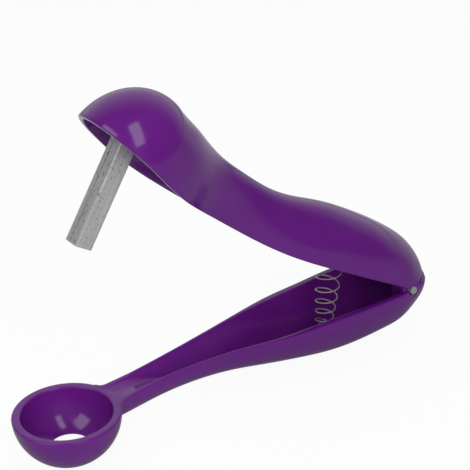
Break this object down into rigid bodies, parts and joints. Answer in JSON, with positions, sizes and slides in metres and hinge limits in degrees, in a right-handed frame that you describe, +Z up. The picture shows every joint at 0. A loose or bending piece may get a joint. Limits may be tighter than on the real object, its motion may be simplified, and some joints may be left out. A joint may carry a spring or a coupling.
{
  "type": "cherry pitter",
  "caption": "Hand-held cherry pitter with a lever: a plastic cup on the lower handle, and a domed upper handle that drives a square steel punch through it.",
  "frame": {"origin": "on the floor, under the middle of the open tool's bounding box", "axes": "+Z up, cup and dome towards -X, hinge towards +X, hinge pin along Y"},
  "size_m": [0.1693, 0.0394, 0.122],
  "materials": {
    "lower_lever": "semi-gloss",
    "upper_lever": "semi-gloss",
    "punch": "brushed along its length",
    "hinge_pin": "turned",
    "return_spring": "drawn wire"
  },
  "bodies": {
    "lower_body": {"lower_lever": "lower_lever", "hinge_pin": "hinge_pin", "return_spring": "return_spring"},
    "upper_body": {"upper_lever": "upper_lever", "punch": "punch"}
  },
  "joints": [
    {"name": "lever_hinge", "type": "hinge", "parent": "lower_body", "child": "upper_body", "pos_m": [0.06965, 0, 0.01988], "axis": [0, -1, 0], "range_deg": [0, 30], "stiffness_Nm_per_rad": 0.4, "springref_deg": -20.05, "deforming": ["return_spring"]}
  ]
}
